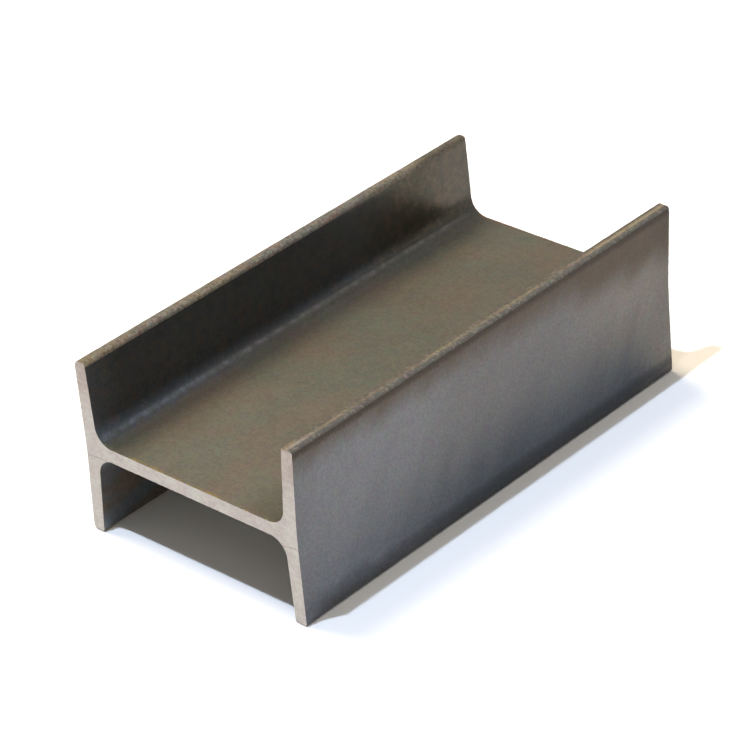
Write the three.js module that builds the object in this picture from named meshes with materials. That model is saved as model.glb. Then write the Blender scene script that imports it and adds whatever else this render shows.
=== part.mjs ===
// A short length of hot-rolled steel H-beam, sawn square at both ends: one solid piece.
//
// Millimetres, +Z up. The beam lies with its web level, standing on the toes of its two flanges.
// X runs across the web from flange to flange, Y runs along the beam, and the origin is the middle
// of the rectangle that the beam covers on the floor.
//
// The section is that of a rolled beam and not of three plates: each flange is thickest at the web and
// thins towards its toes, its two halves stand slightly outwards so that the outer face is a shallow
// hollow, generous fillets join it to the web, and its toes are rounded by the edging rolls: fully on
// the left flange, and only a little on the right one, whose toes kept a crisp outer edge.

import * as THREE from 'three';

// Driving sizes
const LENGTH = 290;                 // from saw cut to saw cut
const SECTION_DEPTH = 142;          // over both flanges, at the level of the web
const FLANGE_WIDTH = 100;           // from toe to toe: the height of the beam as it lies
const WEB_THICKNESS = 8;
const FLANGE_ROOT_THICKNESS = 8.8;  // at the middle of the web
const FLANGE_TOE_THICKNESS = 7.4;   // at the toes
const TOE_FLARE = 1.6;              // how far a toe stands out past the outer face at the web
const ROOT_RADIUS = 10;             // fillet between web and flange
const LEFT_TOE_OUTER_RADIUS = 4;    // toe corner on the outer face
const LEFT_TOE_INNER_RADIUS = 2;    // toe corner on the side of the web
const RIGHT_TOE_OUTER_RADIUS = 1.8;
const RIGHT_TOE_INNER_RADIUS = 1.2;
const HEEL_RADIUS = 300;            // soft turn of the outer face behind the web

const ARC_SEGMENTS = 6;             // each arc is drawn with twice as many chords

// Levels and offsets that follow from them
const webMiddle = FLANGE_WIDTH / 2;
const outerFaceAtWeb = SECTION_DEPTH / 2;
const outerFaceAtToe = outerFaceAtWeb + TOE_FLARE;
const innerFaceAtToe = outerFaceAtToe - FLANGE_TOE_THICKNESS;

// How far the inner face of a flange lies from the middle of the section at a height above the web's middle.
function innerFaceAt(height) {
  const share = height / (FLANGE_WIDTH / 2);
  return THREE.MathUtils.lerp(outerFaceAtWeb - FLANGE_ROOT_THICKNESS, innerFaceAtToe, share);
}

// Corners of one quarter of the section, measured from the middle of the web outwards and upwards.
function quarterCorners(toeOuterRadius, toeInnerRadius) {
  const webFace = WEB_THICKNESS / 2;
  return [
    { x: outerFaceAtToe, z: FLANGE_WIDTH / 2, radius: toeOuterRadius },
    { x: innerFaceAtToe, z: FLANGE_WIDTH / 2, radius: toeInnerRadius },
    { x: innerFaceAt(webFace), z: webFace, radius: ROOT_RADIUS },
  ];
}

// Corners of the whole section, anticlockwise from the right flange's outer face behind the web.
function sectionCorners() {
  const place = (corner, side, rise) => ({
    point: new THREE.Vector2(side * corner.x, webMiddle + rise * corner.z),
    radius: corner.radius,
  });
  const heel = { x: outerFaceAtWeb, z: 0, radius: HEEL_RADIUS };
  const right = quarterCorners(RIGHT_TOE_OUTER_RADIUS, RIGHT_TOE_INNER_RADIUS);
  const left = quarterCorners(LEFT_TOE_OUTER_RADIUS, LEFT_TOE_INNER_RADIUS);
  return [
    place(heel, 1, 1),
    ...right.map((corner) => place(corner, 1, 1)),
    ...left.toReversed().map((corner) => place(corner, -1, 1)),
    place(heel, -1, 1),
    ...left.map((corner) => place(corner, -1, -1)),
    ...right.toReversed().map((corner) => place(corner, 1, -1)),
  ];
}

// The arc that rounds a corner between its two neighbours, as absarc's centre, radius and angles.
function cornerArc(before, corner, after) {
  const toBefore = before.point.clone().sub(corner.point).normalize();
  const toAfter = after.point.clone().sub(corner.point).normalize();
  const halfAngle = Math.acos(THREE.MathUtils.clamp(toBefore.dot(toAfter), -1, 1)) / 2;
  const bisector = toBefore.clone().add(toAfter).normalize();
  const centre = corner.point.clone().addScaledVector(bisector, corner.radius / Math.sin(halfAngle));
  const tangentLength = corner.radius / Math.tan(halfAngle);
  const start = corner.point.clone().addScaledVector(toBefore, tangentLength).sub(centre);
  const end = corner.point.clone().addScaledVector(toAfter, tangentLength).sub(centre);
  return { centre, startAngle: start.angle(), endAngle: end.angle(), clockwise: start.cross(end) < 0 };
}

// The section outline: straight faces joined by true arcs.
function sectionShape() {
  const corners = sectionCorners();
  const shape = new THREE.Shape();
  corners.forEach((corner, index) => {
    const before = corners.at(index - 1);
    const after = corners[(index + 1) % corners.length];
    const arc = cornerArc(before, corner, after);
    shape.absarc(arc.centre.x, arc.centre.y, corner.radius, arc.startAngle, arc.endAngle, arc.clockwise);
  });
  shape.closePath();
  return shape;
}

const millScale = new THREE.MeshStandardMaterial({ color: 0x6b6763, roughness: 0.45, metalness: 0.6 });

// The section is drawn upright and run along the beam between the two saw cuts.
function makeBeam() {
  const geometry = new THREE.ExtrudeGeometry(sectionShape(), {
    depth: LENGTH,
    bevelEnabled: false,
    curveSegments: ARC_SEGMENTS,
  });
  const beam = new THREE.Mesh(geometry, millScale);
  beam.name = 'h_beam';
  beam.rotation.x = Math.PI / 2;
  beam.position.y = LENGTH / 2;
  return beam;
}

const part = new THREE.Group();
part.add(makeBeam());

export default part;
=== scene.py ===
"""Looks of a short steel H-beam: hot-rolled, sawn square at both ends, lying with its web level.

The beam is modelled as by hand. A plate the size of the web is set up at the front saw cut, its flanges
are drawn out of it, its corners are given the mill's radii, and the finished section is run back along the
beam. The long faces are then divided finely enough to carry the unevenness of rolled steel.
"""

import math

import bmesh
import bpy
from mathutils import Matrix, Vector


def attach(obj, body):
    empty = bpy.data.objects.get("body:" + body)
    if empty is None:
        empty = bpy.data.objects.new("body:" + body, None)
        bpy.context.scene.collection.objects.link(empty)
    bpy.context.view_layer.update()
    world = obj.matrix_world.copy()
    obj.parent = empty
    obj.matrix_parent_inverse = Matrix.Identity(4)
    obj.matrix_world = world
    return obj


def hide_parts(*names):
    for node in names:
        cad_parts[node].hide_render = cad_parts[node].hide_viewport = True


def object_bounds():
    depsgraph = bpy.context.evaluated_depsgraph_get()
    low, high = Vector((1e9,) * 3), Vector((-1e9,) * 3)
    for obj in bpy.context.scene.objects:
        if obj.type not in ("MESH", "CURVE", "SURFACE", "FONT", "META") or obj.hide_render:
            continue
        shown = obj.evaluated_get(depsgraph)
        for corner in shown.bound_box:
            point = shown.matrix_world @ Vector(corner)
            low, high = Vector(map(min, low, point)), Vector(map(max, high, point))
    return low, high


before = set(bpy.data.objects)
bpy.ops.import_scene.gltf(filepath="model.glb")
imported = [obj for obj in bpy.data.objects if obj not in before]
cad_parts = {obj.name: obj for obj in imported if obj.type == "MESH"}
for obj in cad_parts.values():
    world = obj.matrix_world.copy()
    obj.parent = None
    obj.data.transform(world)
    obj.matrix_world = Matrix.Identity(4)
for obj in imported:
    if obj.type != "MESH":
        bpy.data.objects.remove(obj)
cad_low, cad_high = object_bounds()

MM = 0.001

# The rolled section, as the solid has it
LENGTH = cad_high.y - cad_low.y
FLANGE_WIDTH = cad_high.z - cad_low.z
SECTION_DEPTH = 142 * MM
WEB_THICKNESS = 8 * MM
FLANGE_ROOT_THICKNESS = 8.8 * MM
FLANGE_TOE_THICKNESS = 7.4 * MM
TOE_FLARE = 1.6 * MM
ROOT_RADIUS = 10 * MM
LEFT_TOE_OUTER_RADIUS = 4 * MM
LEFT_FOOT_OUTER_RADIUS = 3 * MM     # the lower left toe came out of the rolls a little sharper
LEFT_TOE_INNER_RADIUS = 2 * MM
RIGHT_TOE_OUTER_RADIUS = 1.8 * MM
RIGHT_TOE_INNER_RADIUS = 1.2 * MM
HEEL_RADIUS = 300 * MM

FRONT_CUT = cad_low.y
HALF_WIDTH = FLANGE_WIDTH / 2
WEB_LEVEL = HALF_WIDTH
WEB_TOP = WEB_LEVEL + WEB_THICKNESS / 2
WEB_UNDERSIDE = WEB_LEVEL - WEB_THICKNESS / 2
OUTER_AT_WEB = SECTION_DEPTH / 2
OUTER_AT_TOE = OUTER_AT_WEB + TOE_FLARE
INNER_AT_TOE = OUTER_AT_TOE - FLANGE_TOE_THICKNESS
INNER_AT_WEB = OUTER_AT_WEB - FLANGE_ROOT_THICKNESS

# How finely the surface is divided, and how uneven it is
PATCH = 1.7 * MM
ROOT_STEPS = 10
TOE_STEPS = 6
HEEL_STEPS = 6
ARRIS = 0.2 * MM
ARRIS_STEPS = 2
TRUE_ARC = 0.5                      # the bevel tool's profile for a round corner
STRAIGHT_WITHIN = math.radians(0.5)
SMOOTH_BELOW = math.radians(20)
CUT_REACH = 0.6 * MM
TOE_REACH = 4 * MM
WAVE_SIZE, WAVE_DEPTH = 45 * MM, 0.12 * MM
SCALE_SIZE, SCALE_DEPTH = 7 * MM, 0.05 * MM
TOE_DENT_SIZE, TOE_DENT_DEPTH = 5 * MM, 0.22 * MM
SAW_TEAR_SIZE, SAW_TEAR_DEPTH = 2 * MM, 0.25 * MM

HAIR = 0.05 * MM                    # how near a place has to be to count as that place

# Light: each lamp's place and size in metres, and the share of full light it gives a level surface
KEY_PLACE = (-0.096, -0.53, 2.03)
KEY_SIZE = 0.05
KEY_SHARE = 0.46
KEY_TINT = "#d9e8ff"
FRONT_PLACE = (0.2, -0.5, 2.0)
FRONT_SIZE = 0.2
FRONT_SHARE = 0.09
FRONT_TINT = "#fff8ec"
SIDE_PLACE = (-0.4, 0, 1)           # only its direction counts, because the side lamp is a sun
SIDE_SPREAD = math.radians(20)
SIDE_SHARE = 0.46
SIDE_TINT = "#ffebc9"
BACK_PLACE = (1.2, 1.4, 1.62)
BACK_SIZE = 1.0
BACK_SHARE = 0.027
BACK_TINT = "#f0f4ff"
WALL_LIGHT = 1.0
CEILING_LIGHT = 0.22
CEILING_TINT = "#fffaf0"
WALL_TOP = math.sin(math.radians(3))
CEILING_START = math.sin(math.radians(24))
LUMINANCE = (0.2126, 0.7152, 0.0722)    # how much red, green and blue count towards brightness

FLOOR_SIZE = 4
FLOOR_BOUNCE = 0.9                  # the share of light it throws back onto the beam
FLOOR_SEEN = 1.1                    # and to the camera, so that it shows white

# Camera
CAMERA_AZIMUTH = math.radians(43.402)
CAMERA_ELEVATION = math.radians(31.257)
CAMERA_ROLL = math.radians(-4.105)
CAMERA_DISTANCE = 1745.9 * MM
CAMERA_TARGET = Vector((2.14 * MM, -10.61 * MM, WEB_LEVEL))
CAMERA_LENS = 165
CAMERA_SENSOR = 36


# ---------------------------------------------------------------- modelling

def pick(beam, kind, wanted):
    """Select, in edit mode, the corners, edges or faces whose middle passes a test of its place."""
    bpy.ops.mesh.select_mode(type={"verts": "VERT", "edges": "EDGE", "faces": "FACE"}[kind])
    bpy.ops.mesh.select_all(action="DESELECT")
    mesh = bmesh.from_edit_mesh(beam.data)
    for element in getattr(mesh, kind):
        corners = [element] if kind == "verts" else element.verts
        middle = sum((corner.co for corner in corners), Vector()) / len(corners)
        element.select_set(wanted(middle))
    mesh.select_flush_mode()
    bmesh.update_edit_mesh(beam.data)


def near(value, target):
    return abs(value - target) < HAIR


def inner_face_at(height):
    """How far from the section's middle a flange's inner face lies, at a height above the web's middle."""
    share = height / HALF_WIDTH
    return INNER_AT_WEB + (INNER_AT_TOE - INNER_AT_WEB) * share


def stand_web_plate():
    """The web's rectangle as a flat plate, upright in the plane of the front saw cut."""
    bpy.ops.object.select_all(action="DESELECT")
    bpy.ops.mesh.primitive_plane_add(
        size=1,
        location=(0, FRONT_CUT, WEB_LEVEL),
        rotation=(math.radians(90), 0, 0),
    )
    plate = bpy.context.object
    plate.name = "rolled_beam"
    plate.scale = (SECTION_DEPTH, WEB_THICKNESS, 1)
    bpy.ops.object.transform_apply(location=True, rotation=True, scale=True)
    return plate


def draw_out_flanges(beam):
    """Flanges grow up and down out of the plate's two ends, and get their taper and flare."""
    flange_starts = inner_face_at(WEB_THICKNESS / 2)
    for side in (-1, 1):
        bpy.ops.mesh.select_all(action="SELECT")
        bpy.ops.mesh.bisect(plane_co=(side * flange_starts, 0, 0), plane_no=(1, 0, 0))
    for level, toe_level in ((WEB_TOP, FLANGE_WIDTH), (WEB_UNDERSIDE, 0)):
        pick(beam, "edges", lambda co: near(co.z, level) and abs(co.x) > flange_starts)
        bpy.ops.mesh.extrude_edges_move(TRANSFORM_OT_translate={"value": (0, 0, toe_level - level)})
        pick(beam, "verts", lambda co: near(co.z, toe_level) and near(abs(co.x), OUTER_AT_WEB))
        bpy.ops.transform.resize(value=(OUTER_AT_TOE / OUTER_AT_WEB, 1, 1), center_override=(0, 0, 0))
        pick(beam, "verts", lambda co: near(co.z, toe_level) and near(abs(co.x), flange_starts))
        bpy.ops.transform.resize(value=(INNER_AT_TOE / flange_starts, 1, 1), center_override=(0, 0, 0))


def shape_section(beam):
    """Heels behind the web, then one outline with the mill's radii at its corners."""
    bpy.ops.mesh.select_all(action="SELECT")
    bpy.ops.mesh.bisect(plane_co=(0, 0, WEB_LEVEL), plane_no=(0, 0, 1))
    outer_beside_web = OUTER_AT_WEB + TOE_FLARE * (WEB_THICKNESS / 2) / HALF_WIDTH
    pick(beam, "verts", lambda co: near(abs(co.x), OUTER_AT_WEB) and not near(co.z, WEB_LEVEL))
    bpy.ops.transform.resize(value=(outer_beside_web / OUTER_AT_WEB, 1, 1), center_override=(0, 0, 0))
    bpy.ops.mesh.select_all(action="SELECT")
    bpy.ops.mesh.dissolve_limited(angle_limit=STRAIGHT_WITHIN)

    flare_angle = math.atan(TOE_FLARE / HALF_WIDTH)
    taper_angle = math.atan((INNER_AT_TOE - INNER_AT_WEB) / HALF_WIDTH)
    inner_angle = math.pi / 2 + taper_angle
    flange_starts = inner_face_at(WEB_THICKNESS / 2)
    toe_angle = math.pi / 2 - flare_angle
    round_corners(beam, -OUTER_AT_TOE, LEFT_FOOT_OUTER_RADIUS, toe_angle, TOE_STEPS, highest=WEB_LEVEL)
    for side, toe_outer_radius, toe_inner_radius in (
        (-1, LEFT_TOE_OUTER_RADIUS, LEFT_TOE_INNER_RADIUS),
        (1, RIGHT_TOE_OUTER_RADIUS, RIGHT_TOE_INNER_RADIUS),
    ):
        round_corners(beam, side * OUTER_AT_WEB, HEEL_RADIUS, math.pi - 2 * flare_angle, HEEL_STEPS)
        round_corners(beam, side * flange_starts, ROOT_RADIUS, inner_angle, ROOT_STEPS)
        round_corners(beam, side * OUTER_AT_TOE, toe_outer_radius, toe_angle, TOE_STEPS)
        round_corners(beam, side * INNER_AT_TOE, toe_inner_radius, inner_angle, TOE_STEPS)


def round_corners(beam, place, radius, angle, steps, highest=FLANGE_WIDTH):
    """Round the corners at this place across the section, where two faces meet at this angle."""
    pick(beam, "verts", lambda co: near(co.x, place) and co.z < highest + HAIR)
    bpy.ops.mesh.bevel(
        affect="VERTICES",
        offset_type="OFFSET",
        offset=radius / math.tan(angle / 2),
        segments=steps,
        profile=TRUE_ARC,
        clamp_overlap=False,
    )


def run_section():
    """Run the section back to the far saw cut, with its faces turned outwards."""
    bpy.ops.mesh.select_all(action="SELECT")
    bpy.ops.mesh.extrude_region_move(TRANSFORM_OT_translate={"value": (0, LENGTH, 0)})
    bpy.ops.mesh.select_all(action="SELECT")
    bpy.ops.mesh.normals_make_consistent(inside=False)


def at_a_cut(co):
    return near(abs(co.y), LENGTH / 2)


def break_arrises(beam):
    """The saw leaves a crisp edge that handling takes off a little."""
    pick(beam, "edges", at_a_cut)
    bpy.ops.mesh.bevel(
        affect="EDGES",
        offset_type="OFFSET",
        offset=ARRIS,
        segments=ARRIS_STEPS,
        profile=TRUE_ARC,
    )


def stations(start, end):
    """Evenly spaced places between two others, no further apart than a patch."""
    count = math.ceil((end - start) / PATCH)
    return [start + (end - start) * step / count for step in range(count + 1)]


def divide(beam):
    """Cut web, flanges and toes into patches across the section, then along the beam."""
    web_flat = inner_face_at(WEB_THICKNESS / 2) - ROOT_RADIUS
    flange_flat = ROOT_RADIUS + WEB_THICKNESS / 2
    toe_flat = stations(INNER_AT_TOE + LEFT_TOE_INNER_RADIUS, OUTER_AT_TOE - RIGHT_TOE_OUTER_RADIUS)
    toe_places = [side * place for place in toe_flat for side in (-1, 1)]
    for place in stations(-web_flat, web_flat) + toe_places:
        bpy.ops.mesh.select_all(action="SELECT")
        bpy.ops.mesh.bisect(plane_co=(place, 0, 0), plane_no=(1, 0, 0))
    for rise in stations(flange_flat, HALF_WIDTH - LEFT_TOE_OUTER_RADIUS):
        for level in (WEB_LEVEL + rise, WEB_LEVEL - rise):
            bpy.ops.mesh.select_all(action="SELECT")
            bpy.ops.mesh.bisect(plane_co=(0, 0, level), plane_no=(0, 0, 1))
    pick(beam, "edges", lambda co: near(co.y, 0))
    bpy.ops.mesh.subdivide(number_cuts=1)
    half = LENGTH / 2 - ARRIS
    pick(beam, "edges", lambda co: near(abs(co.y), half / 2))
    bpy.ops.mesh.subdivide(number_cuts=math.ceil(half / PATCH) - 1)


def name_group(beam, name, wanted):
    """A vertex group of the corners whose place passes a test."""
    pick(beam, "verts", wanted)
    bpy.ops.object.vertex_group_add()
    bpy.ops.object.vertex_group_assign()
    beam.vertex_groups.active.name = name


def sink(beam, name, size, depth, group=""):
    """Let the surface in unevenly, by up to a depth and in dents of a size. Nothing rises outwards."""
    dents = bpy.data.textures.new(name, "CLOUDS")
    dents.noise_scale = size
    bpy.ops.object.modifier_add(type="DISPLACE")
    modifier = beam.modifiers[-1]
    modifier.name = name
    modifier.texture = dents
    modifier.texture_coords = "LOCAL"
    modifier.strength = -depth
    modifier.mid_level = 0
    modifier.vertex_group = group
    bpy.ops.object.modifier_apply(modifier=name)


def set_on_floor(beam):
    """The dents take a hair off the toes, so the beam is let down again until it touches the floor."""
    lowest = min(corner.co.z for corner in beam.data.vertices)
    bpy.ops.object.mode_set(mode="EDIT")
    bpy.ops.mesh.select_all(action="SELECT")
    bpy.ops.transform.translate(value=(0, 0, -lowest))
    bpy.ops.object.mode_set(mode="OBJECT")


def make_beam():
    beam = stand_web_plate()
    bpy.ops.object.mode_set(mode="EDIT")
    draw_out_flanges(beam)
    shape_section(beam)
    run_section()
    break_arrises(beam)
    divide(beam)
    name_group(beam, "near_cuts", lambda co: abs(co.y) > LENGTH / 2 - CUT_REACH)
    name_group(beam, "toes", lambda co: abs(co.z - WEB_LEVEL) > HALF_WIDTH - TOE_REACH)
    bpy.ops.object.mode_set(mode="OBJECT")
    sink(beam, "rolling_waves", WAVE_SIZE, WAVE_DEPTH)
    sink(beam, "scale_unevenness", SCALE_SIZE, SCALE_DEPTH)
    sink(beam, "toe_dents", TOE_DENT_SIZE, TOE_DENT_DEPTH, "toes")
    sink(beam, "saw_tears", SAW_TEAR_SIZE, SAW_TEAR_DEPTH, "near_cuts")
    set_on_floor(beam)
    bpy.ops.object.shade_smooth_by_angle(angle=SMOOTH_BELOW)
    return beam


# ---------------------------------------------------------------- materials

def colour(hex_code):
    """An sRGB hex value as the linear RGBA that the shaders take."""
    channels = [int(hex_code[place:place + 2], 16) / 255 for place in (1, 3, 5)]
    linear = [c / 12.92 if c <= 0.04045 else ((c + 0.055) / 1.055) ** 2.4 for c in channels]
    return (*linear, 1)


def add_node(tree, kind, inputs=None, **settings):
    """Add a node. An input takes a value, a socket, or a node, which stands for its first open output."""
    node = tree.nodes.new(kind)
    for name, value in settings.items():
        setattr(node, name, value)
    for name, value in (inputs or {}).items():
        if isinstance(name, int):
            socket = node.inputs[name]
        else:
            socket = next(socket for socket in node.inputs if socket.enabled and socket.name == name)
        if isinstance(value, bpy.types.Node):
            value = next(output for output in value.outputs if output.enabled)
        if isinstance(value, bpy.types.NodeSocket):
            tree.links.new(value, socket)
        else:
            socket.default_value = value
    return node


def new_material(name):
    material = bpy.data.materials.new(name)
    material.use_nodes = True
    material.node_tree.nodes.clear()
    return material, material.node_tree


MASK = {"interpolation_type": "SMOOTHSTEP"}
BLEND = {"data_type": "RGBA"}
WHITE = "#ffffff"
DETAILED = {"Detail": 3.0}                              # a step finer than noise has by itself
OVER_NOISE = {"From Min": 0.35, "From Max": 0.65}       # a noise pattern lies mostly between these

# Hot-rolled mild steel: the sizes of the patterns in its scale
CLOUD_SIZE = 42 * MM
STREAK_WIDTH = 22 * MM
STREAK_LENGTH = 6                   # times the width
STREAK_LEAN = math.radians(63)
PATCH_SIZE = 16 * MM
SPOT_SIZE = 5 * MM
DAB_SIZE = 3.2 * MM
ROLLED_OUT = 0.4                    # patches and dabs are drawn out along the beam
FLECK_SIZE = 1.8 * MM
GRAIN_SIZE = 1.4 * MM               # scale's grain is a fifth of this, so it is drawn coarser to show


def scale_patterns(tree):
    """Where a point of the section lies, and the patterns in its scale, by name."""
    place = add_node(tree, "ShaderNodeTexCoord").outputs["Object"]
    axes = add_node(tree, "ShaderNodeSeparateXYZ", {"Vector": place})
    above = add_node(tree, "ShaderNodeMath", {0: axes.outputs["Z"], 1: WEB_LEVEL}, operation="SUBTRACT")
    lean = add_node(tree, "ShaderNodeMapping", {
        "Vector": place,
        "Rotation": (STREAK_LEAN, 0, 0),
        "Scale": (1, STREAK_LENGTH, 1),
    }, vector_type="TEXTURE")
    drawn = add_node(tree, "ShaderNodeMapping", {"Vector": place, "Scale": (1, ROLLED_OUT, 1)})
    return {
        "right": axes.outputs["X"],
        "across": add_node(tree, "ShaderNodeMath", {0: axes.outputs["X"]}, operation="ABSOLUTE"),
        "along": axes.outputs["Y"],
        "from_middle": add_node(tree, "ShaderNodeMath", {0: axes.outputs["Y"]}, operation="ABSOLUTE"),
        "above": above,
        "rise": add_node(tree, "ShaderNodeMath", {0: above}, operation="ABSOLUTE"),
        "clouds": add_node(tree, "ShaderNodeTexNoise", {
            "Vector": place, "Scale": 1 / CLOUD_SIZE, **DETAILED,
        }),
        "streaks": add_node(tree, "ShaderNodeTexNoise", {"Vector": lean, "Scale": 1 / STREAK_WIDTH}),
        "patches": add_node(tree, "ShaderNodeTexNoise", {
            "Vector": drawn, "Scale": 1 / PATCH_SIZE, **DETAILED,
        }),
        "spots": add_node(tree, "ShaderNodeTexNoise", {
            "Vector": place, "Scale": 1 / SPOT_SIZE, **DETAILED,
        }),
        "flecks": add_node(tree, "ShaderNodeTexNoise", {
            "Vector": place, "Scale": 1 / FLECK_SIZE, **DETAILED,
        }),
        "dabs": add_node(tree, "ShaderNodeTexNoise", {"Vector": drawn, "Scale": 1 / DAB_SIZE}),
        "grain": add_node(tree, "ShaderNodeTexNoise", {"Vector": place, "Scale": 1 / GRAIN_SIZE}),
    }


# The outer faces' colours, and where they change: along the beam, then up from the web's middle
SCALE_NEAR = "#6c6d71"
SCALE_MIDDLE = "#646364"
SCALE_FAR = "#6d6965"
# The next grey is a painted reflection of the floor's shadow, and so is the darker foot line after the
# brown
REFLECTED_SHADOW_GREY = "#484b4f"
SCALE_BROWN = "#51463b"
REFLECTED_SHADOW_LINE = "#303236"
DARK_LINE = "#3b3128"
NEAR_TO_FAR = {"From Min": -100 * MM, "From Max": 110 * MM}
MIDDLE_PLACE = 25 * MM
MIDDLE_REACH = {"From Min": 90 * MM, "From Max": 25 * MM}
# Along the beam, the painted shadow reflection fades out past the front cut and before the far cut
PAST_FRONT = {"From Min": -150 * MM, "From Max": 10 * MM}
BEFORE_FAR = {"From Min": 150 * MM, "From Max": 105 * MM}
BROWN_START = {"From Min": 30 * MM, "From Max": 115 * MM, "To Min": 28.5 * MM, "To Max": 13 * MM}
# Down the face: how far the painted shadow reflection reaches, and how dark the foot and its line get
REFLECTION_BELOW = {"From Min": 16 * MM, "From Max": -40 * MM}
REFLECTION_AT_FOOT = {"From Min": -33 * MM, "From Max": -43 * MM}
REFLECTION_FOOT_SHARE = {"To Min": 0.45, "To Max": 0.65}
REFLECTION_LINE = {"From Min": -37 * MM, "From Max": -41.5 * MM, "To Max": 0.5}
REFLECTION_LINE_END = {"From Min": -43.5 * MM, "From Max": -46 * MM, "To Max": 0.5}
BROWN_DEEPENS = {"From Min": 0, "From Max": 22 * MM}
TOP_LINE = {"From Min": 43.5 * MM, "From Max": 47 * MM}
STREAK_SWAY = {**OVER_NOISE, "To Min": -4 * MM, "To Max": 4 * MM}
LINE_SWAY = {**OVER_NOISE, "To Min": -0.6 * MM, "To Max": 0.6 * MM}


def outer_face(tree, at):
    """The flanges' outer faces: satin grey, darkened low down by painted reflection, browned towards the
    top.
    """
    far = add_node(tree, "ShaderNodeMapRange", {"Value": at["along"], **NEAR_TO_FAR}, **MASK)
    tone = add_node(tree, "ShaderNodeMix", {
        "Factor": far, "A": colour(SCALE_NEAR), "B": colour(SCALE_FAR),
    }, **BLEND)
    middle = add_node(tree, "ShaderNodeMath", {0: at["along"], 1: MIDDLE_PLACE}, operation="SUBTRACT")
    middle = add_node(tree, "ShaderNodeMath", {0: middle}, operation="ABSOLUTE")
    middle = add_node(tree, "ShaderNodeMapRange", {"Value": middle, **MIDDLE_REACH}, **MASK)
    tone = add_node(tree, "ShaderNodeMix", {
        "Factor": middle, "A": tone, "B": colour(SCALE_MIDDLE),
    }, **BLEND)
    sway = add_node(tree, "ShaderNodeMapRange", {"Value": at["streaks"], **STREAK_SWAY})
    height = add_node(tree, "ShaderNodeMath", {0: at["above"], 1: sway}, operation="ADD")
    # Painted reflection of the floor's shadow, low on the face
    tone = paint_floor_shadow_reflection(tree, at, height, tone)
    return brown_top(tree, at, height, tone)


def paint_floor_shadow_reflection(tree, at, height, tone):
    """Painted shadow reflection darkens an outer face downwards, most along a line just over the foot."""
    below = add_node(tree, "ShaderNodeMapRange", {"Value": height, **REFLECTION_BELOW}, **MASK)
    past_front = add_node(tree, "ShaderNodeMapRange", {"Value": at["along"], **PAST_FRONT}, **MASK)
    before_far = add_node(tree, "ShaderNodeMapRange", {"Value": at["along"], **BEFORE_FAR}, **MASK)
    dark = add_node(tree, "ShaderNodeMath", {0: past_front, 1: before_far}, operation="MULTIPLY")
    dark = add_node(tree, "ShaderNodeMath", {0: dark, 1: below}, operation="MULTIPLY")
    share = add_node(tree, "ShaderNodeMapRange", {"Value": past_front, **REFLECTION_FOOT_SHARE})
    foot = add_node(tree, "ShaderNodeMapRange", {"Value": height, "To Max": share, **REFLECTION_AT_FOOT}, **MASK)
    dark = add_node(tree, "ShaderNodeMath", {0: dark, 1: foot}, operation="MAXIMUM")
    tone = add_node(tree, "ShaderNodeMix", {
        "Factor": dark, "A": tone, "B": colour(REFLECTED_SHADOW_GREY),
    }, **BLEND)

    line = add_node(tree, "ShaderNodeMapRange", {"Value": at["above"], **REFLECTION_LINE}, **MASK)
    under = add_node(tree, "ShaderNodeMapRange", {"Value": at["above"], **REFLECTION_LINE_END}, **MASK)
    line = add_node(tree, "ShaderNodeMath", {0: line, 1: under}, operation="SUBTRACT")
    line = add_node(tree, "ShaderNodeMath", {0: line, 1: past_front}, operation="MULTIPLY")
    return add_node(tree, "ShaderNodeMix", {"Factor": line, "A": tone, "B": colour(REFLECTED_SHADOW_LINE)}, **BLEND)


def brown_top(tree, at, height, tone):
    """Damp browns an outer face upwards, from lower down at the far end, to a dark line at the toe."""
    start = add_node(tree, "ShaderNodeMapRange", {"Value": at["along"], **BROWN_START}, **MASK)
    brown = add_node(tree, "ShaderNodeMath", {0: height, 1: start}, operation="SUBTRACT")
    brown = add_node(tree, "ShaderNodeMapRange", {"Value": brown, **BROWN_DEEPENS}, **MASK)
    tone = add_node(tree, "ShaderNodeMix", {
        "Factor": brown, "A": tone, "B": colour(SCALE_BROWN),
    }, **BLEND)
    sway = add_node(tree, "ShaderNodeMapRange", {"Value": at["flecks"], **LINE_SWAY})
    line = add_node(tree, "ShaderNodeMath", {0: at["above"], 1: sway}, operation="ADD")
    line = add_node(tree, "ShaderNodeMapRange", {"Value": line, **TOP_LINE}, **MASK)
    tone = add_node(tree, "ShaderNodeMix", {"Factor": line, "A": tone, "B": colour(DARK_LINE)}, **BLEND)
    return tone, brown


# The inner faces' and roots' colours, and where they change: along the beam, then away from the web
INNER_SCALE = "#53565a"
INNER_BROWN = "#474439"
INNER_OLIVE = "#57524a"
INNER_RUST = "#594e42"
# These two root tones are a painted highlight, where the softbox shines in the fillets
ROOT_HIGHLIGHT_BLUE = "#60666c"
ROOT_HIGHLIGHT_OLIVE = "#605d56"
INNER_BROWNS = {"From Min": 40 * MM, "From Max": 95 * MM}
INNER_PALES = {"From Min": 95 * MM, "From Max": 140 * MM}
ROOT_HIGHLIGHT_DIMS = {"From Min": -110 * MM, "From Max": 0}
OVER_ROOT = {"From Min": 11 * MM, "From Max": 20 * MM}
ROOT_TOP = {"To Min": 18 * MM, "To Max": 10.5 * MM}
ROOT_FOOT = 5 * MM
ROOT_EDGE = {"From Min": 18 * MM, "From Max": 12 * MM}
ROOT_EDGE_END = {"From Min": 10.5 * MM, "From Max": 8 * MM}
RUST_SPOTS = {"From Min": 0.5, "From Max": 0.75, "To Max": 0.7}
RUST_STAINS = {"From Min": 0.38, "From Max": 0.56, "To Max": 0.85}
INNER_MOTTLE = {**OVER_NOISE, "To Min": 0.9, "To Max": 1.1}
LIGHT_PAINTED_UNDER_WEB = 0.5


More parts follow.
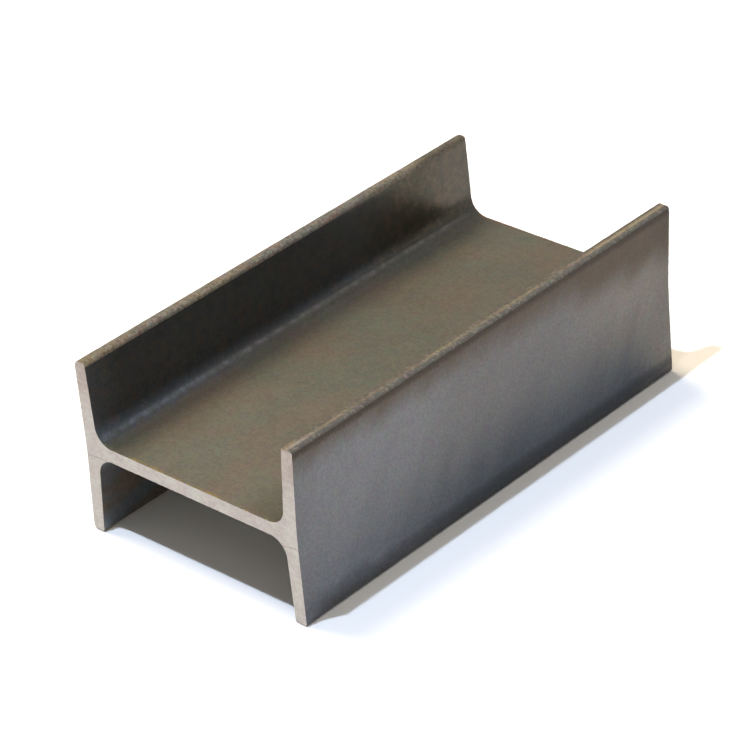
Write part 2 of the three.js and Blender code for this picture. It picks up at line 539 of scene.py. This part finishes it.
def inner_face(tree, at):
    """The flanges' inner faces: darker, bluer scale that browns and pales to the far end, with rust."""
    browned = add_node(tree, "ShaderNodeMapRange", {"Value": at["along"], **INNER_BROWNS}, **MASK)
    tone = add_node(tree, "ShaderNodeMix", {
        "Factor": browned, "A": colour(INNER_SCALE), "B": colour(INNER_BROWN),
    }, **BLEND)
    paler = add_node(tree, "ShaderNodeMapRange", {"Value": at["along"], **INNER_PALES}, **MASK)
    high = add_node(tree, "ShaderNodeMapRange", {"Value": at["rise"], **OVER_ROOT}, **MASK)
    paler = add_node(tree, "ShaderNodeMath", {0: paler, 1: high}, operation="MULTIPLY")
    tone = add_node(tree, "ShaderNodeMix", {
        "Factor": paler, "A": tone, "B": colour(INNER_OLIVE),
    }, **BLEND)
    spotted = add_node(tree, "ShaderNodeMapRange", {"Value": at["spots"], **RUST_SPOTS}, **MASK)
    stained = add_node(tree, "ShaderNodeMapRange", {"Value": at["patches"], **RUST_STAINS}, **MASK)
    below = add_node(tree, "ShaderNodeMath", {0: at["above"], 1: 0}, operation="LESS_THAN")
    rusty = add_node(tree, "ShaderNodeMix", {"Factor": below, "A": spotted, "B": stained})
    tone = add_node(tree, "ShaderNodeMix", {
        "Factor": rusty, "A": tone, "B": colour(INNER_RUST),
    }, **BLEND)
    # Painted highlight in the roots
    tone = paint_root_highlight(tree, at, tone)
    # Mottle, and painted light: the lower inner faces under the web are made half as bright again
    mottle_and_painted_light = add_node(tree, "ShaderNodeMapRange", {"Value": at["spots"], **INNER_MOTTLE})
    mottle_and_painted_light = add_node(tree, "ShaderNodeMath", {
        0: below, 1: LIGHT_PAINTED_UNDER_WEB, 2: mottle_and_painted_light,
    }, operation="MULTIPLY_ADD")
    return add_node(tree, "ShaderNodeVectorMath", {0: tone, 1: mottle_and_painted_light}, operation="MULTIPLY")


def paint_root_highlight(tree, at, tone):
    """Painted highlight in the roots: a lighter tone, blue in front and duller and lower further back."""
    dulled = add_node(tree, "ShaderNodeMapRange", {"Value": at["along"], **ROOT_HIGHLIGHT_DIMS}, **MASK)
    top = add_node(tree, "ShaderNodeMapRange", {"Value": dulled, **ROOT_TOP})
    root = add_node(tree, "ShaderNodeMapRange", {
        "Value": at["rise"], "From Min": top, "From Max": ROOT_FOOT,
    }, **MASK)
    scale = add_node(tree, "ShaderNodeMix", {
        "Factor": dulled, "A": colour(ROOT_HIGHLIGHT_BLUE), "B": colour(ROOT_HIGHLIGHT_OLIVE),
    }, **BLEND)
    return add_node(tree, "ShaderNodeMix", {"Factor": root, "A": tone, "B": scale}, **BLEND)


# The web's colours, how its bloom of rust varies, and its painted light and shade
WEB_OLIVE = "#6a695b"
WEB_BROWN = "#716759"
WEB_PAINTED_SHADE = "#d8cfc6"
PATCHES_IN_CLOUDS = 0.4
BLOOM_HUE = {"From Min": 0.59, "From Max": 0.81}
# Painted light falling off along the web; then painted shade beside the roots, along and across the beam
WEB_LIGHT_FALLS_OFF = {"From Min": -120 * MM, "From Max": 80 * MM, "To Min": 1.0, "To Max": 0.85}
ROOT_SHADE_ALONG = {"From Min": -40 * MM, "From Max": 30 * MM, "To Min": 1.0, "To Max": 0.7}
ROOT_SHADE_ACROSS = {"From Min": 24 * MM, "From Max": 54 * MM}


def web_face(tree, at):
    """The web: first rust has bloomed over the scale in soft clouds, some olive and some brown, with
    painted light and shade.
    """
    hue = add_node(tree, "ShaderNodeMath", {
        0: at["patches"], 1: PATCHES_IN_CLOUDS, 2: at["clouds"],
    }, operation="MULTIPLY_ADD")
    hue = add_node(tree, "ShaderNodeMapRange", {"Value": hue, **BLOOM_HUE})
    bloom = add_node(tree, "ShaderNodeMix", {
        "Factor": hue, "A": colour(WEB_OLIVE), "B": colour(WEB_BROWN),
    }, **BLEND)
    # Painted light: the web is lighter towards the front and darker further back
    fade = add_node(tree, "ShaderNodeMapRange", {"Value": at["along"], **WEB_LIGHT_FALLS_OFF}, **MASK)
    bloom = add_node(tree, "ShaderNodeVectorMath", {0: bloom, 1: fade}, operation="MULTIPLY")
    # Painted shade: the web darkens beside the roots, where the flanges shade it
    shade_strength = add_node(tree, "ShaderNodeMapRange", {"Value": at["along"], **ROOT_SHADE_ALONG}, **MASK)
    root_shade = add_node(tree, "ShaderNodeMapRange", {
        "Value": at["across"], "To Max": shade_strength, **ROOT_SHADE_ACROSS,
    }, **MASK)
    shade = add_node(tree, "ShaderNodeMix", {
        "Factor": root_shade, "A": colour(WHITE), "B": colour(WEB_PAINTED_SHADE),
    }, **BLEND)
    return add_node(tree, "ShaderNodeVectorMath", {0: bloom, 1: shade}, operation="MULTIPLY")


# The toes' colours, and where they change: along the beam, across it, and with the patterns
TOE_BROWN = "#554c41"
TOE_GREY = "#737168"
TOE_PINK = "#816d60"
TOE_PALE = "#948a7c"
TOE_GOLD = "#85775b"
TOE_OCHRE = "#6c6254"
TOE_STRAW = "#99896d"
TOE_DULL = "#5b5852"
TOE_FLAT = "#625b4e"
GOLD_AT_FRONT = {"From Min": FRONT_CUT + 12 * MM, "From Max": FRONT_CUT + 6 * MM}
STRAW_BEHIND = {"From Min": 55 * MM, "From Max": 100 * MM}
LEFT_PINK = {"From Min": 0.48, "From Max": 0.62}
LEFT_GOLD = {"From Min": 0.52, "From Max": 0.62, "To Max": 0.5}
LEFT_STRAW = 0.5
LEFT_FADES = {"From Min": 96 * MM, "From Max": 116 * MM, "To Min": 0.95, "To Max": 0.55}
# The left toes' inner edge is lighter, more so in front
LEFT_EDGE_LIGHTER = {"From Min": -67.5 * MM, "From Max": -65 * MM, "To Min": 0.95}
LEFT_EDGE_LIGHTER_ALONG = {"From Min": 10 * MM, "From Max": 90 * MM, "To Min": 1.25, "To Max": 0.88}
RIDGE_START = {"From Min": 66.5 * MM, "From Max": 69 * MM}
RIDGE_END = {"From Min": 69.2 * MM, "From Max": 70.2 * MM}
RIDGE_GOLD = {"From Min": 0.45, "From Max": 0.6, "To Max": 0.8}
RIDGE_PALE = {"From Min": FRONT_CUT + 26 * MM, "From Max": FRONT_CUT + 8 * MM}
RIGHT_SHADE = 0.95
PALE_FLECKS = {"From Min": 0.5, "From Max": 0.66}
DARK_PITS = {"From Min": 0.48, "From Max": 0.34}
FLECKED = {"To Min": 0.4, "To Max": 0.65}


def toe_face(tree, at):
    """The toes: granular rust with pale flecks and dark pits, and the left ones' inner edge lighter."""
    golden = add_node(tree, "ShaderNodeMapRange", {"Value": at["along"], **GOLD_AT_FRONT}, **MASK)
    straw = add_node(tree, "ShaderNodeMapRange", {"Value": at["along"], **STRAW_BEHIND}, **MASK)
    left = add_node(tree, "ShaderNodeMath", {0: at["right"], 1: 0}, operation="LESS_THAN")
    tone = add_node(tree, "ShaderNodeMix", {
        "Factor": left,
        "A": right_toe(tree, at, golden, straw),
        "B": left_toe(tree, at, golden, straw),
    }, **BLEND)

    flecked = add_node(tree, "ShaderNodeMapRange", {"Value": left, **FLECKED})
    for flecks, hex_code in ((PALE_FLECKS, TOE_PALE), (DARK_PITS, TOE_BROWN)):
        share = add_node(tree, "ShaderNodeMapRange", {"Value": at["flecks"], **flecks}, **MASK)
        share = add_node(tree, "ShaderNodeMath", {0: share, 1: flecked}, operation="MULTIPLY")
        tone = add_node(tree, "ShaderNodeMix", {
            "Factor": share, "A": tone, "B": colour(hex_code),
        }, **BLEND)

    fade = add_node(tree, "ShaderNodeMapRange", {"Value": at["along"], **LEFT_FADES}, **MASK)
    lighter_edge = add_node(tree, "ShaderNodeMapRange", {"Value": at["along"], **LEFT_EDGE_LIGHTER_ALONG}, **MASK)
    lighter_edge = add_node(tree, "ShaderNodeMapRange", {
        "Value": at["right"], "To Max": lighter_edge, **LEFT_EDGE_LIGHTER,
    }, **MASK)
    fade = add_node(tree, "ShaderNodeMath", {0: fade, 1: lighter_edge}, operation="MULTIPLY")
    fade = add_node(tree, "ShaderNodeMix", {"Factor": left, "A": RIGHT_SHADE, "B": fade})
    return add_node(tree, "ShaderNodeVectorMath", {0: tone, 1: fade}, operation="MULTIPLY")


def left_toe(tree, at, golden, straw):
    """The left toes: dabs of grey and pink, golden at the front and in places, straw at the far end."""
    hue = add_node(tree, "ShaderNodeMapRange", {"Value": at["dabs"], **LEFT_PINK}, **MASK)
    tone = add_node(tree, "ShaderNodeMix", {
        "Factor": hue, "A": colour(TOE_GREY), "B": colour(TOE_PINK),
    }, **BLEND)
    dabbed = add_node(tree, "ShaderNodeMapRange", {"Value": at["patches"], **LEFT_GOLD}, **MASK)
    dabbed = add_node(tree, "ShaderNodeMath", {0: golden, 1: dabbed}, operation="MAXIMUM")
    tone = add_node(tree, "ShaderNodeMix", {
        "Factor": dabbed, "A": tone, "B": colour(TOE_GOLD),
    }, **BLEND)
    straw = add_node(tree, "ShaderNodeMath", {0: straw, 1: LEFT_STRAW}, operation="MULTIPLY")
    return add_node(tree, "ShaderNodeMix", {"Factor": straw, "A": tone, "B": colour(TOE_STRAW)}, **BLEND)


def right_toe(tree, at, golden, straw):
    """The right toes: a dull flat, and a worn ridge that is pale in front, then ochre, then straw."""
    flat = add_node(tree, "ShaderNodeMix", {
        "Factor": golden, "A": colour(TOE_FLAT), "B": colour(TOE_GOLD),
    }, **BLEND)
    golden = add_node(tree, "ShaderNodeMapRange", {"Value": at["patches"], **RIDGE_GOLD}, **MASK)
    ridge = add_node(tree, "ShaderNodeMix", {
        "Factor": golden, "A": colour(TOE_OCHRE), "B": colour(TOE_GOLD),
    }, **BLEND)
    front = add_node(tree, "ShaderNodeMapRange", {"Value": at["along"], **RIDGE_PALE}, **MASK)
    beyond = add_node(tree, "ShaderNodeMapRange", {"Value": at["right"], **RIDGE_END}, **MASK)
    for share, hex_code in ((straw, TOE_STRAW), (front, TOE_PALE), (beyond, TOE_DULL)):
        ridge = add_node(tree, "ShaderNodeMix", {
            "Factor": share, "A": ridge, "B": colour(hex_code),
        }, **BLEND)
    raised = add_node(tree, "ShaderNodeMapRange", {"Value": at["right"], **RIDGE_START}, **MASK)
    return add_node(tree, "ShaderNodeMix", {"Factor": raised, "A": flat, "B": ridge}, **BLEND)


# Where each side of the section begins: across the beam, then away from the web
OUTER_SIDE = {"From Min": 67 * MM, "From Max": 70.5 * MM}
WEB_SIDE = {"From Min": 62 * MM, "From Max": 55 * MM}
SHORE_SWAY = {**OVER_NOISE, "To Min": -1.5 * MM, "To Max": 1.5 * MM}
TOE_START = {"To Min": 46.7 * MM, "To Max": 48.2 * MM}
LOWER_TOE_SHIFT = 1.5 * MM
TOE_EDGE = {"From Min": 0, "From Max": 0.7 * MM}


def section_sides(tree, at):
    """How much a point belongs to an outer face, the web, a toe and the lower half, by name."""
    outer = add_node(tree, "ShaderNodeMapRange", {"Value": at["across"], **OUTER_SIDE}, **MASK)
    shore = add_node(tree, "ShaderNodeMapRange", {"Value": at["spots"], **SHORE_SWAY})
    shore = add_node(tree, "ShaderNodeMath", {0: at["across"], 1: shore}, operation="ADD")
    lower = add_node(tree, "ShaderNodeMath", {0: at["above"], 1: 0}, operation="LESS_THAN")
    toe = add_node(tree, "ShaderNodeMapRange", {"Value": outer, **TOE_START})
    toe = add_node(tree, "ShaderNodeMath", {
        0: lower, 1: LOWER_TOE_SHIFT, 2: toe,
    }, operation="MULTIPLY_ADD")
    toe = add_node(tree, "ShaderNodeMath", {0: at["rise"], 1: toe}, operation="SUBTRACT")
    return {
        "outer": outer,
        "web": add_node(tree, "ShaderNodeMapRange", {"Value": shore, **WEB_SIDE}, **MASK),
        "toe": add_node(tree, "ShaderNodeMapRange", {"Value": toe, **TOE_EDGE}, **MASK),
        "lower": lower,
    }


# Rust along the saw cuts
CUT_RUST = "#857349"
FAR_CUT_RUST = "#6f4f3c"
CUT_CREEP = {"From Min": LENGTH / 2 - 2.6 * MM, "From Max": LENGTH / 2 - 0.8 * MM}
CUT_RUST_ENDS = 61 * MM             # across the beam
CUT_RUST_BREAKS = {"From Min": 0.98, "From Max": 1.14}
FAR_CUT_MORE = 0.12


def rust_the_cuts(tree, at, tone):
    """Rust creeps in from the saw cuts here and there, on the upper inner side of the section."""
    far = add_node(tree, "ShaderNodeMath", {0: at["along"], 1: 0}, operation="GREATER_THAN")
    rust = add_node(tree, "ShaderNodeMix", {
        "Factor": far, "A": colour(CUT_RUST), "B": colour(FAR_CUT_RUST),
    }, **BLEND)
    share = add_node(tree, "ShaderNodeMapRange", {"Value": at["from_middle"], **CUT_CREEP}, **MASK)
    inside = add_node(tree, "ShaderNodeMath", {0: at["across"], 1: CUT_RUST_ENDS}, operation="LESS_THAN")
    upper = add_node(tree, "ShaderNodeMath", {0: at["above"], 1: 0}, operation="GREATER_THAN")
    here = add_node(tree, "ShaderNodeMath", {0: at["flecks"], 1: at["patches"]}, operation="ADD")
    here = add_node(tree, "ShaderNodeMath", {0: far, 1: FAR_CUT_MORE, 2: here}, operation="MULTIPLY_ADD")
    here = add_node(tree, "ShaderNodeMapRange", {"Value": here, **CUT_RUST_BREAKS}, **MASK)
    for limit in (inside, upper, here):
        share = add_node(tree, "ShaderNodeMath", {0: share, 1: limit}, operation="MULTIPLY")
    return add_node(tree, "ShaderNodeMix", {"Factor": share, "A": tone, "B": rust}, **BLEND)


# How far grain, streaks and the oxide film's tint vary the scale's colour
GRAIN_SHADE = {**OVER_NOISE, "To Min": 0.89, "To Max": 1.11}
STREAK_SHADE = {**OVER_NOISE, "To Min": 0.96, "To Max": 1.04}
TINT = 0.3


def vary_scale(tree, at, tone):
    """Grain and streaks lighten and darken the scale a little, and its tint wanders from spot to spot."""
    grained = add_node(tree, "ShaderNodeMapRange", {"Value": at["grain"], **GRAIN_SHADE})
    streaked = add_node(tree, "ShaderNodeMapRange", {"Value": at["streaks"], **STREAK_SHADE})
    shade = add_node(tree, "ShaderNodeMath", {0: grained, 1: streaked}, operation="MULTIPLY")
    tone = add_node(tree, "ShaderNodeVectorMath", {0: tone, 1: shade}, operation="MULTIPLY")
    tinted = add_node(tree, "ShaderNodeVectorMath", {
        0: at["spots"].outputs["Color"], 1: (TINT, TINT, TINT), 2: (1 - TINT / 2,) * 3,
    }, operation="MULTIPLY_ADD")
    return add_node(tree, "ShaderNodeVectorMath", {0: tone, 1: tinted}, operation="MULTIPLY")


# How metallic and how rough the scale is, from sound to rusty, and what adds to that
METAL_SHARE = {"To Min": 0.8, "To Max": 0.3}
ROUGHNESS = {"To Min": 0.27, "To Max": 0.55}
DULLED_AT_CUTS = {"From Min": LENGTH / 2 - 25 * MM, "From Max": LENGTH / 2, "To Max": 0.4}
DULLED_UNDER_WEB = 0.6
METAL_WHERE_BROWN = -0.25
ROUGHER_OUTSIDE = 0.13
ROUGHER_ROOT_EDGE = 0.2
ROUGHER_WHERE_BROWN = 0.1


def scale_shine(tree, at, sides, brown):
    """Metallic share and roughness: satin where the scale is sound, dull where it is rusty."""
    rusty = add_node(tree, "ShaderNodeMath", {0: sides["web"], 1: sides["toe"]}, operation="MAXIMUM")
    near_cut = add_node(tree, "ShaderNodeMapRange", {
        "Value": at["from_middle"], **DULLED_AT_CUTS,
    }, **MASK)
    rusty = add_node(tree, "ShaderNodeMath", {0: rusty, 1: near_cut}, operation="MAXIMUM")
    sheltered = add_node(tree, "ShaderNodeMath", {
        0: sides["lower"], 1: sides["outer"],
    }, operation="SUBTRACT", use_clamp=True)
    dulled = add_node(tree, "ShaderNodeMath", {0: sheltered, 1: DULLED_UNDER_WEB}, operation="MULTIPLY")
    rusty = add_node(tree, "ShaderNodeMath", {0: rusty, 1: dulled}, operation="MAXIMUM")
    browned = add_node(tree, "ShaderNodeMath", {0: brown, 1: sides["outer"]}, operation="MULTIPLY")
    metallic = add_node(tree, "ShaderNodeMapRange", {"Value": rusty, **METAL_SHARE})
    metallic = add_node(tree, "ShaderNodeMath", {
        0: browned, 1: METAL_WHERE_BROWN, 2: metallic,
    }, operation="MULTIPLY_ADD")

    edge = add_node(tree, "ShaderNodeMapRange", {"Value": at["rise"], **ROOT_EDGE}, **MASK)
    edge_end = add_node(tree, "ShaderNodeMapRange", {"Value": at["rise"], **ROOT_EDGE_END}, **MASK)
    edge = add_node(tree, "ShaderNodeMath", {0: edge, 1: edge_end}, operation="SUBTRACT")
    edge = add_node(tree, "ShaderNodeMath", {
        0: edge, 1: sides["outer"],
    }, operation="SUBTRACT", use_clamp=True)
    roughness = add_node(tree, "ShaderNodeMapRange", {"Value": rusty, **ROUGHNESS})
    for share, more in (
        (sides["outer"], ROUGHER_OUTSIDE),
        (edge, ROUGHER_ROOT_EDGE),
        (browned, ROUGHER_WHERE_BROWN),
    ):
        roughness = add_node(tree, "ShaderNodeMath", {
            0: share, 1: more, 2: roughness,
        }, operation="MULTIPLY_ADD")
    return metallic, roughness


# The scale's relief: spots, with some grain on them
GRAIN_IN_RELIEF = 0.3
SCALE_RELIEF = {"Strength": 0.25, "Distance": 0.2 * MM}


def hot_rolled_scale():
    """Hot-rolled mild steel: the mill leaves a hard skin of oxide, blue-grey and dark with a satin shine.

    It is faintly streaked and finely grained. Damp has browned it towards the upper toes, and left a dull
    bloom of first rust on the web and a paler, rougher rust on the toes, with a dark line below.
    """
    material, tree = new_material("hot_rolled_mill_scale")
    at = scale_patterns(tree)
    sides = section_sides(tree, at)
    # The tone also carries painted light: floor-shadow reflection, root highlight, web shade and falloff,
    # light under the web
    outer_tone, brown = outer_face(tree, at)
    tone = add_node(tree, "ShaderNodeMix", {
        "Factor": sides["outer"], "A": inner_face(tree, at), "B": outer_tone,
    }, **BLEND)
    tone = add_node(tree, "ShaderNodeMix", {
        "Factor": sides["web"], "A": tone, "B": web_face(tree, at),
    }, **BLEND)
    tone = add_node(tree, "ShaderNodeMix", {
        "Factor": sides["toe"], "A": tone, "B": toe_face(tree, at),
    }, **BLEND)
    tone = rust_the_cuts(tree, at, tone)
    tone = vary_scale(tree, at, tone)
    metallic, roughness = scale_shine(tree, at, sides, brown)
    relief = add_node(tree, "ShaderNodeMath", {
        0: at["grain"], 1: GRAIN_IN_RELIEF, 2: at["spots"],
    }, operation="MULTIPLY_ADD")
    shader = add_node(tree, "ShaderNodeBsdfPrincipled", {
        "Base Color": tone,
        "Metallic": metallic,
        "Roughness": roughness,
        "Normal": add_node(tree, "ShaderNodeBump", {"Height": relief, **SCALE_RELIEF}),
    })
    add_node(tree, "ShaderNodeOutputMaterial", {"Surface": shader})
    return material


# Bare steel as the band saw leaves it: colours, the sizes of its marks, and how high each of them lies
SAWN_WARM = "#b6aeab"
SAWN_COOL = "#b3b0aa"
SAWN_DULL = "#a69b95"
SAWN_STEP = "#6f5d55"
SCORE_SPACING = 1.2 * MM
SCORE_LEAN = math.radians(2)
SCORE_STRETCH = 0.15
STAIN_SIZE = 9 * MM
STAIN_HUE = {"From Min": 0.4, "From Max": 0.6}
DULLER_UP = {"From Min": 70 * MM, "From Max": 88 * MM, "To Max": 0.85}
STEP_LEVEL = 44.2 * MM
STEP_FALL = 0.02                    # across the beam
STEP_SWAY = {**OVER_NOISE, "To Min": -1.5 * MM, "To Max": 1.5 * MM}
STEP_EDGE = {"From Min": 0.75 * MM, "From Max": 0, "To Max": 0.4}
BROWNED_TOP = {"From Min": 98.3 * MM, "From Max": 99.3 * MM, "To Max": 0.75}
SCORE_SHADE = {**OVER_NOISE, "To Min": 0.96, "To Max": 1.04}
STAIN_SHADE = {**OVER_NOISE, "To Min": 1.055, "To Max": 0.945}
SAWN_GRAIN_SHADE = {**OVER_NOISE, "To Min": 0.93, "To Max": 1.07}
SAWN_METAL_SHARE = 0.8
SAWN_ROUGHNESS = 0.5
SCORE_RELIEF = {"Strength": 0.3, "Distance": 0.1 * MM}
FACES_ALONG = 0.5                   # a face that looks along the beam by more than this was sawn


def saw_step(tree, axes, stains):
    """How strongly the fine dark step shows that the blade left where it was set in again."""
    step = add_node(tree, "ShaderNodeMath", {
        0: axes.outputs["X"], 1: STEP_FALL, 2: axes.outputs["Z"],
    }, operation="MULTIPLY_ADD")
    sway = add_node(tree, "ShaderNodeMapRange", {"Value": stains, **STEP_SWAY})
    step = add_node(tree, "ShaderNodeMath", {0: step, 1: sway}, operation="ADD")
    step = add_node(tree, "ShaderNodeMath", {0: step, 1: STEP_LEVEL}, operation="SUBTRACT")
    step = add_node(tree, "ShaderNodeMath", {0: step}, operation="ABSOLUTE")
    return add_node(tree, "ShaderNodeMapRange", {"Value": step, **STEP_EDGE}, **MASK)


def sawn_steel():
    """Mild steel cut by a band saw: bare, pale, dull and faintly scored, and duller up at the toes.

    Where the blade was set in again it left a fine dark step, which only crosses the flanges.
    """
    material, tree = new_material("band_sawn_steel")
    place = add_node(tree, "ShaderNodeTexCoord").outputs["Object"]
    axes = add_node(tree, "ShaderNodeSeparateXYZ", {"Vector": place})
    strokes = add_node(tree, "ShaderNodeMapping", {
        "Vector": place,
        "Rotation": (0, SCORE_LEAN, 0),
        "Scale": (SCORE_STRETCH, 1, 1),
    })
    scores = add_node(tree, "ShaderNodeTexNoise", {
        "Vector": strokes, "Scale": 1 / SCORE_SPACING, **DETAILED,
    })
    stains = add_node(tree, "ShaderNodeTexNoise", {"Vector": place, "Scale": 1 / STAIN_SIZE, **DETAILED})
    grain = add_node(tree, "ShaderNodeTexNoise", {"Vector": place, "Scale": 1 / GRAIN_SIZE})

    hue = add_node(tree, "ShaderNodeMapRange", {"Value": stains, **STAIN_HUE}, **MASK)
    tone = add_node(tree, "ShaderNodeMix", {
        "Factor": hue, "A": colour(SAWN_COOL), "B": colour(SAWN_WARM),
    }, **BLEND)
    dull = add_node(tree, "ShaderNodeMapRange", {"Value": axes.outputs["Z"], **DULLER_UP}, **MASK)
    browned = add_node(tree, "ShaderNodeMapRange", {"Value": axes.outputs["Z"], **BROWNED_TOP}, **MASK)
    step = saw_step(tree, axes, stains)
    for share, hex_code in ((dull, SAWN_DULL), (step, SAWN_STEP), (browned, TOE_GOLD)):
        tone = add_node(tree, "ShaderNodeMix", {
            "Factor": share, "A": tone, "B": colour(hex_code),
        }, **BLEND)
    for pattern, shades in ((scores, SCORE_SHADE), (stains, STAIN_SHADE), (grain, SAWN_GRAIN_SHADE)):
        shade = add_node(tree, "ShaderNodeMapRange", {"Value": pattern, **shades})
        tone = add_node(tree, "ShaderNodeVectorMath", {0: tone, 1: shade}, operation="MULTIPLY")
    shader = add_node(tree, "ShaderNodeBsdfPrincipled", {
        "Base Color": tone,
        "Metallic": SAWN_METAL_SHARE,
        "Roughness": SAWN_ROUGHNESS,
        "Normal": add_node(tree, "ShaderNodeBump", {"Height": scores, **SCORE_RELIEF}),
    })
    add_node(tree, "ShaderNodeOutputMaterial", {"Surface": shader})
    return material


def finish_beam(beam):
    """Scale on every rolled face, bare steel on the two saw cuts."""
    for material in (hot_rolled_scale(), sawn_steel()):
        beam.data.materials.append(material)
    for face in beam.data.polygons:
        face.material_index = 1 if abs(face.normal.y) > FACES_ALONG else 0


# ---------------------------------------------------------------- floor, light and camera

def make_floor():
    """A plain pale floor that keeps the beam's shadow and otherwise shows white."""
    bpy.ops.object.select_all(action="DESELECT")
    bpy.ops.mesh.primitive_plane_add(size=FLOOR_SIZE, location=(0, 0, 0))
    floor = bpy.context.object
    floor.name = "floor"
    material, tree = new_material("pale_floor")
    path = add_node(tree, "ShaderNodeLightPath")
    seen = path.outputs["Is Camera Ray"]
    for ray in ("Is Glossy Ray", "Is Transmission Ray"):
        seen = add_node(tree, "ShaderNodeMath", {0: seen, 1: path.outputs[ray]}, operation="MAXIMUM")
    tone = add_node(tree, "ShaderNodeMix", {"Factor": seen, "A": FLOOR_BOUNCE, "B": FLOOR_SEEN})
    shader = add_node(tree, "ShaderNodeBsdfDiffuse", {"Color": tone})
    add_node(tree, "ShaderNodeOutputMaterial", {"Surface": shader})
    floor.data.materials.append(material)


def make_room():
    """White low down, as a studio's walls are, and dimmer above, as its ceiling is."""
    world = bpy.data.worlds.new("studio")
    bpy.context.scene.world = world
    world.use_nodes = True
    tree = world.node_tree
    tree.nodes.clear()
    direction = add_node(tree, "ShaderNodeTexCoord").outputs["Generated"]
    axes = add_node(tree, "ShaderNodeSeparateXYZ", {"Vector": direction})
    ceiling = add_node(tree, "ShaderNodeMapRange", {
        "Value": axes.outputs["Z"], "From Min": WALL_TOP, "From Max": CEILING_START,
    }, **MASK)
    tint = add_node(tree, "ShaderNodeMix", {
        "Factor": ceiling, "A": colour(WHITE), "B": colour(CEILING_TINT),
    }, **BLEND)
    level = add_node(tree, "ShaderNodeMapRange", {
        "Value": ceiling, "To Min": WALL_LIGHT, "To Max": CEILING_LIGHT,
    })
    room = add_node(tree, "ShaderNodeBackground", {"Color": tint, "Strength": level})
    add_node(tree, "ShaderNodeOutputWorld", {"Surface": room})


def brightness(tint):
    """How bright a linear colour looks next to white."""
    return sum(weight * channel for weight, channel in zip(LUMINANCE, tint))


def add_lamp(kind, name, place, share, hex_code):
    """A lamp turned towards the beam, as strong as gives a level surface there its share of full light."""
    bpy.ops.object.select_all(action="DESELECT")
    bpy.ops.object.light_add(type=kind, location=place)
    lamp = bpy.context.object
    lamp.name = name
    lamp.rotation_euler = Vector(place).to_track_quat("Z", "Y").to_euler()
    lamp.data.color = colour(hex_code)[:3]
    away = Vector(place).length
    slant = place[2] / away
    full_power = {
        "SUN": math.pi,
        "POINT": 4 * math.pi ** 2 * away ** 2,
        "AREA": math.pi ** 2 * away ** 2,
    }[kind]
    lamp.data.energy = share * full_power / slant / brightness(lamp.data.color)
    return lamp


def light_beam():
    """A small cool key lamp and a weaker one high in front, a warm lamp from the left, a softbox behind."""
    key = add_lamp("POINT", "key_lamp", KEY_PLACE, KEY_SHARE, KEY_TINT)
    key.data.shadow_soft_size = KEY_SIZE / 2
    front = add_lamp("POINT", "front_lamp", FRONT_PLACE, FRONT_SHARE, FRONT_TINT)
    front.data.shadow_soft_size = FRONT_SIZE / 2
    side = add_lamp("SUN", "side_lamp", SIDE_PLACE, SIDE_SHARE, SIDE_TINT)
    side.data.angle = SIDE_SPREAD
    back = add_lamp("AREA", "back_softbox", BACK_PLACE, BACK_SHARE, BACK_TINT)
    back.data.size = BACK_SIZE


def make_camera():
    """The camera looks down on the front end from its right, a little turned about its own axis."""
    bpy.ops.object.select_all(action="DESELECT")
    turn = (
        Matrix.Rotation(CAMERA_AZIMUTH, 3, "Z")
        @ Matrix.Rotation(math.pi / 2 - CAMERA_ELEVATION, 3, "X")
        @ Matrix.Rotation(CAMERA_ROLL, 3, "Z")
    )
    bpy.ops.object.camera_add(
        location=CAMERA_TARGET + turn @ Vector((0, 0, CAMERA_DISTANCE)),
        rotation=turn.to_euler(),
    )
    camera = bpy.context.object
    camera.name = "camera"
    camera.data.lens = CAMERA_LENS
    camera.data.sensor_width = CAMERA_SENSOR
    bpy.context.scene.camera = camera


# ---------------------------------------------------------------- the scene

make_camera()
make_floor()
make_room()
light_beam()

beam = make_beam()
finish_beam(beam)
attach(beam, "root")
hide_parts("h_beam")

bpy.context.scene.view_settings.view_transform = "Standard"
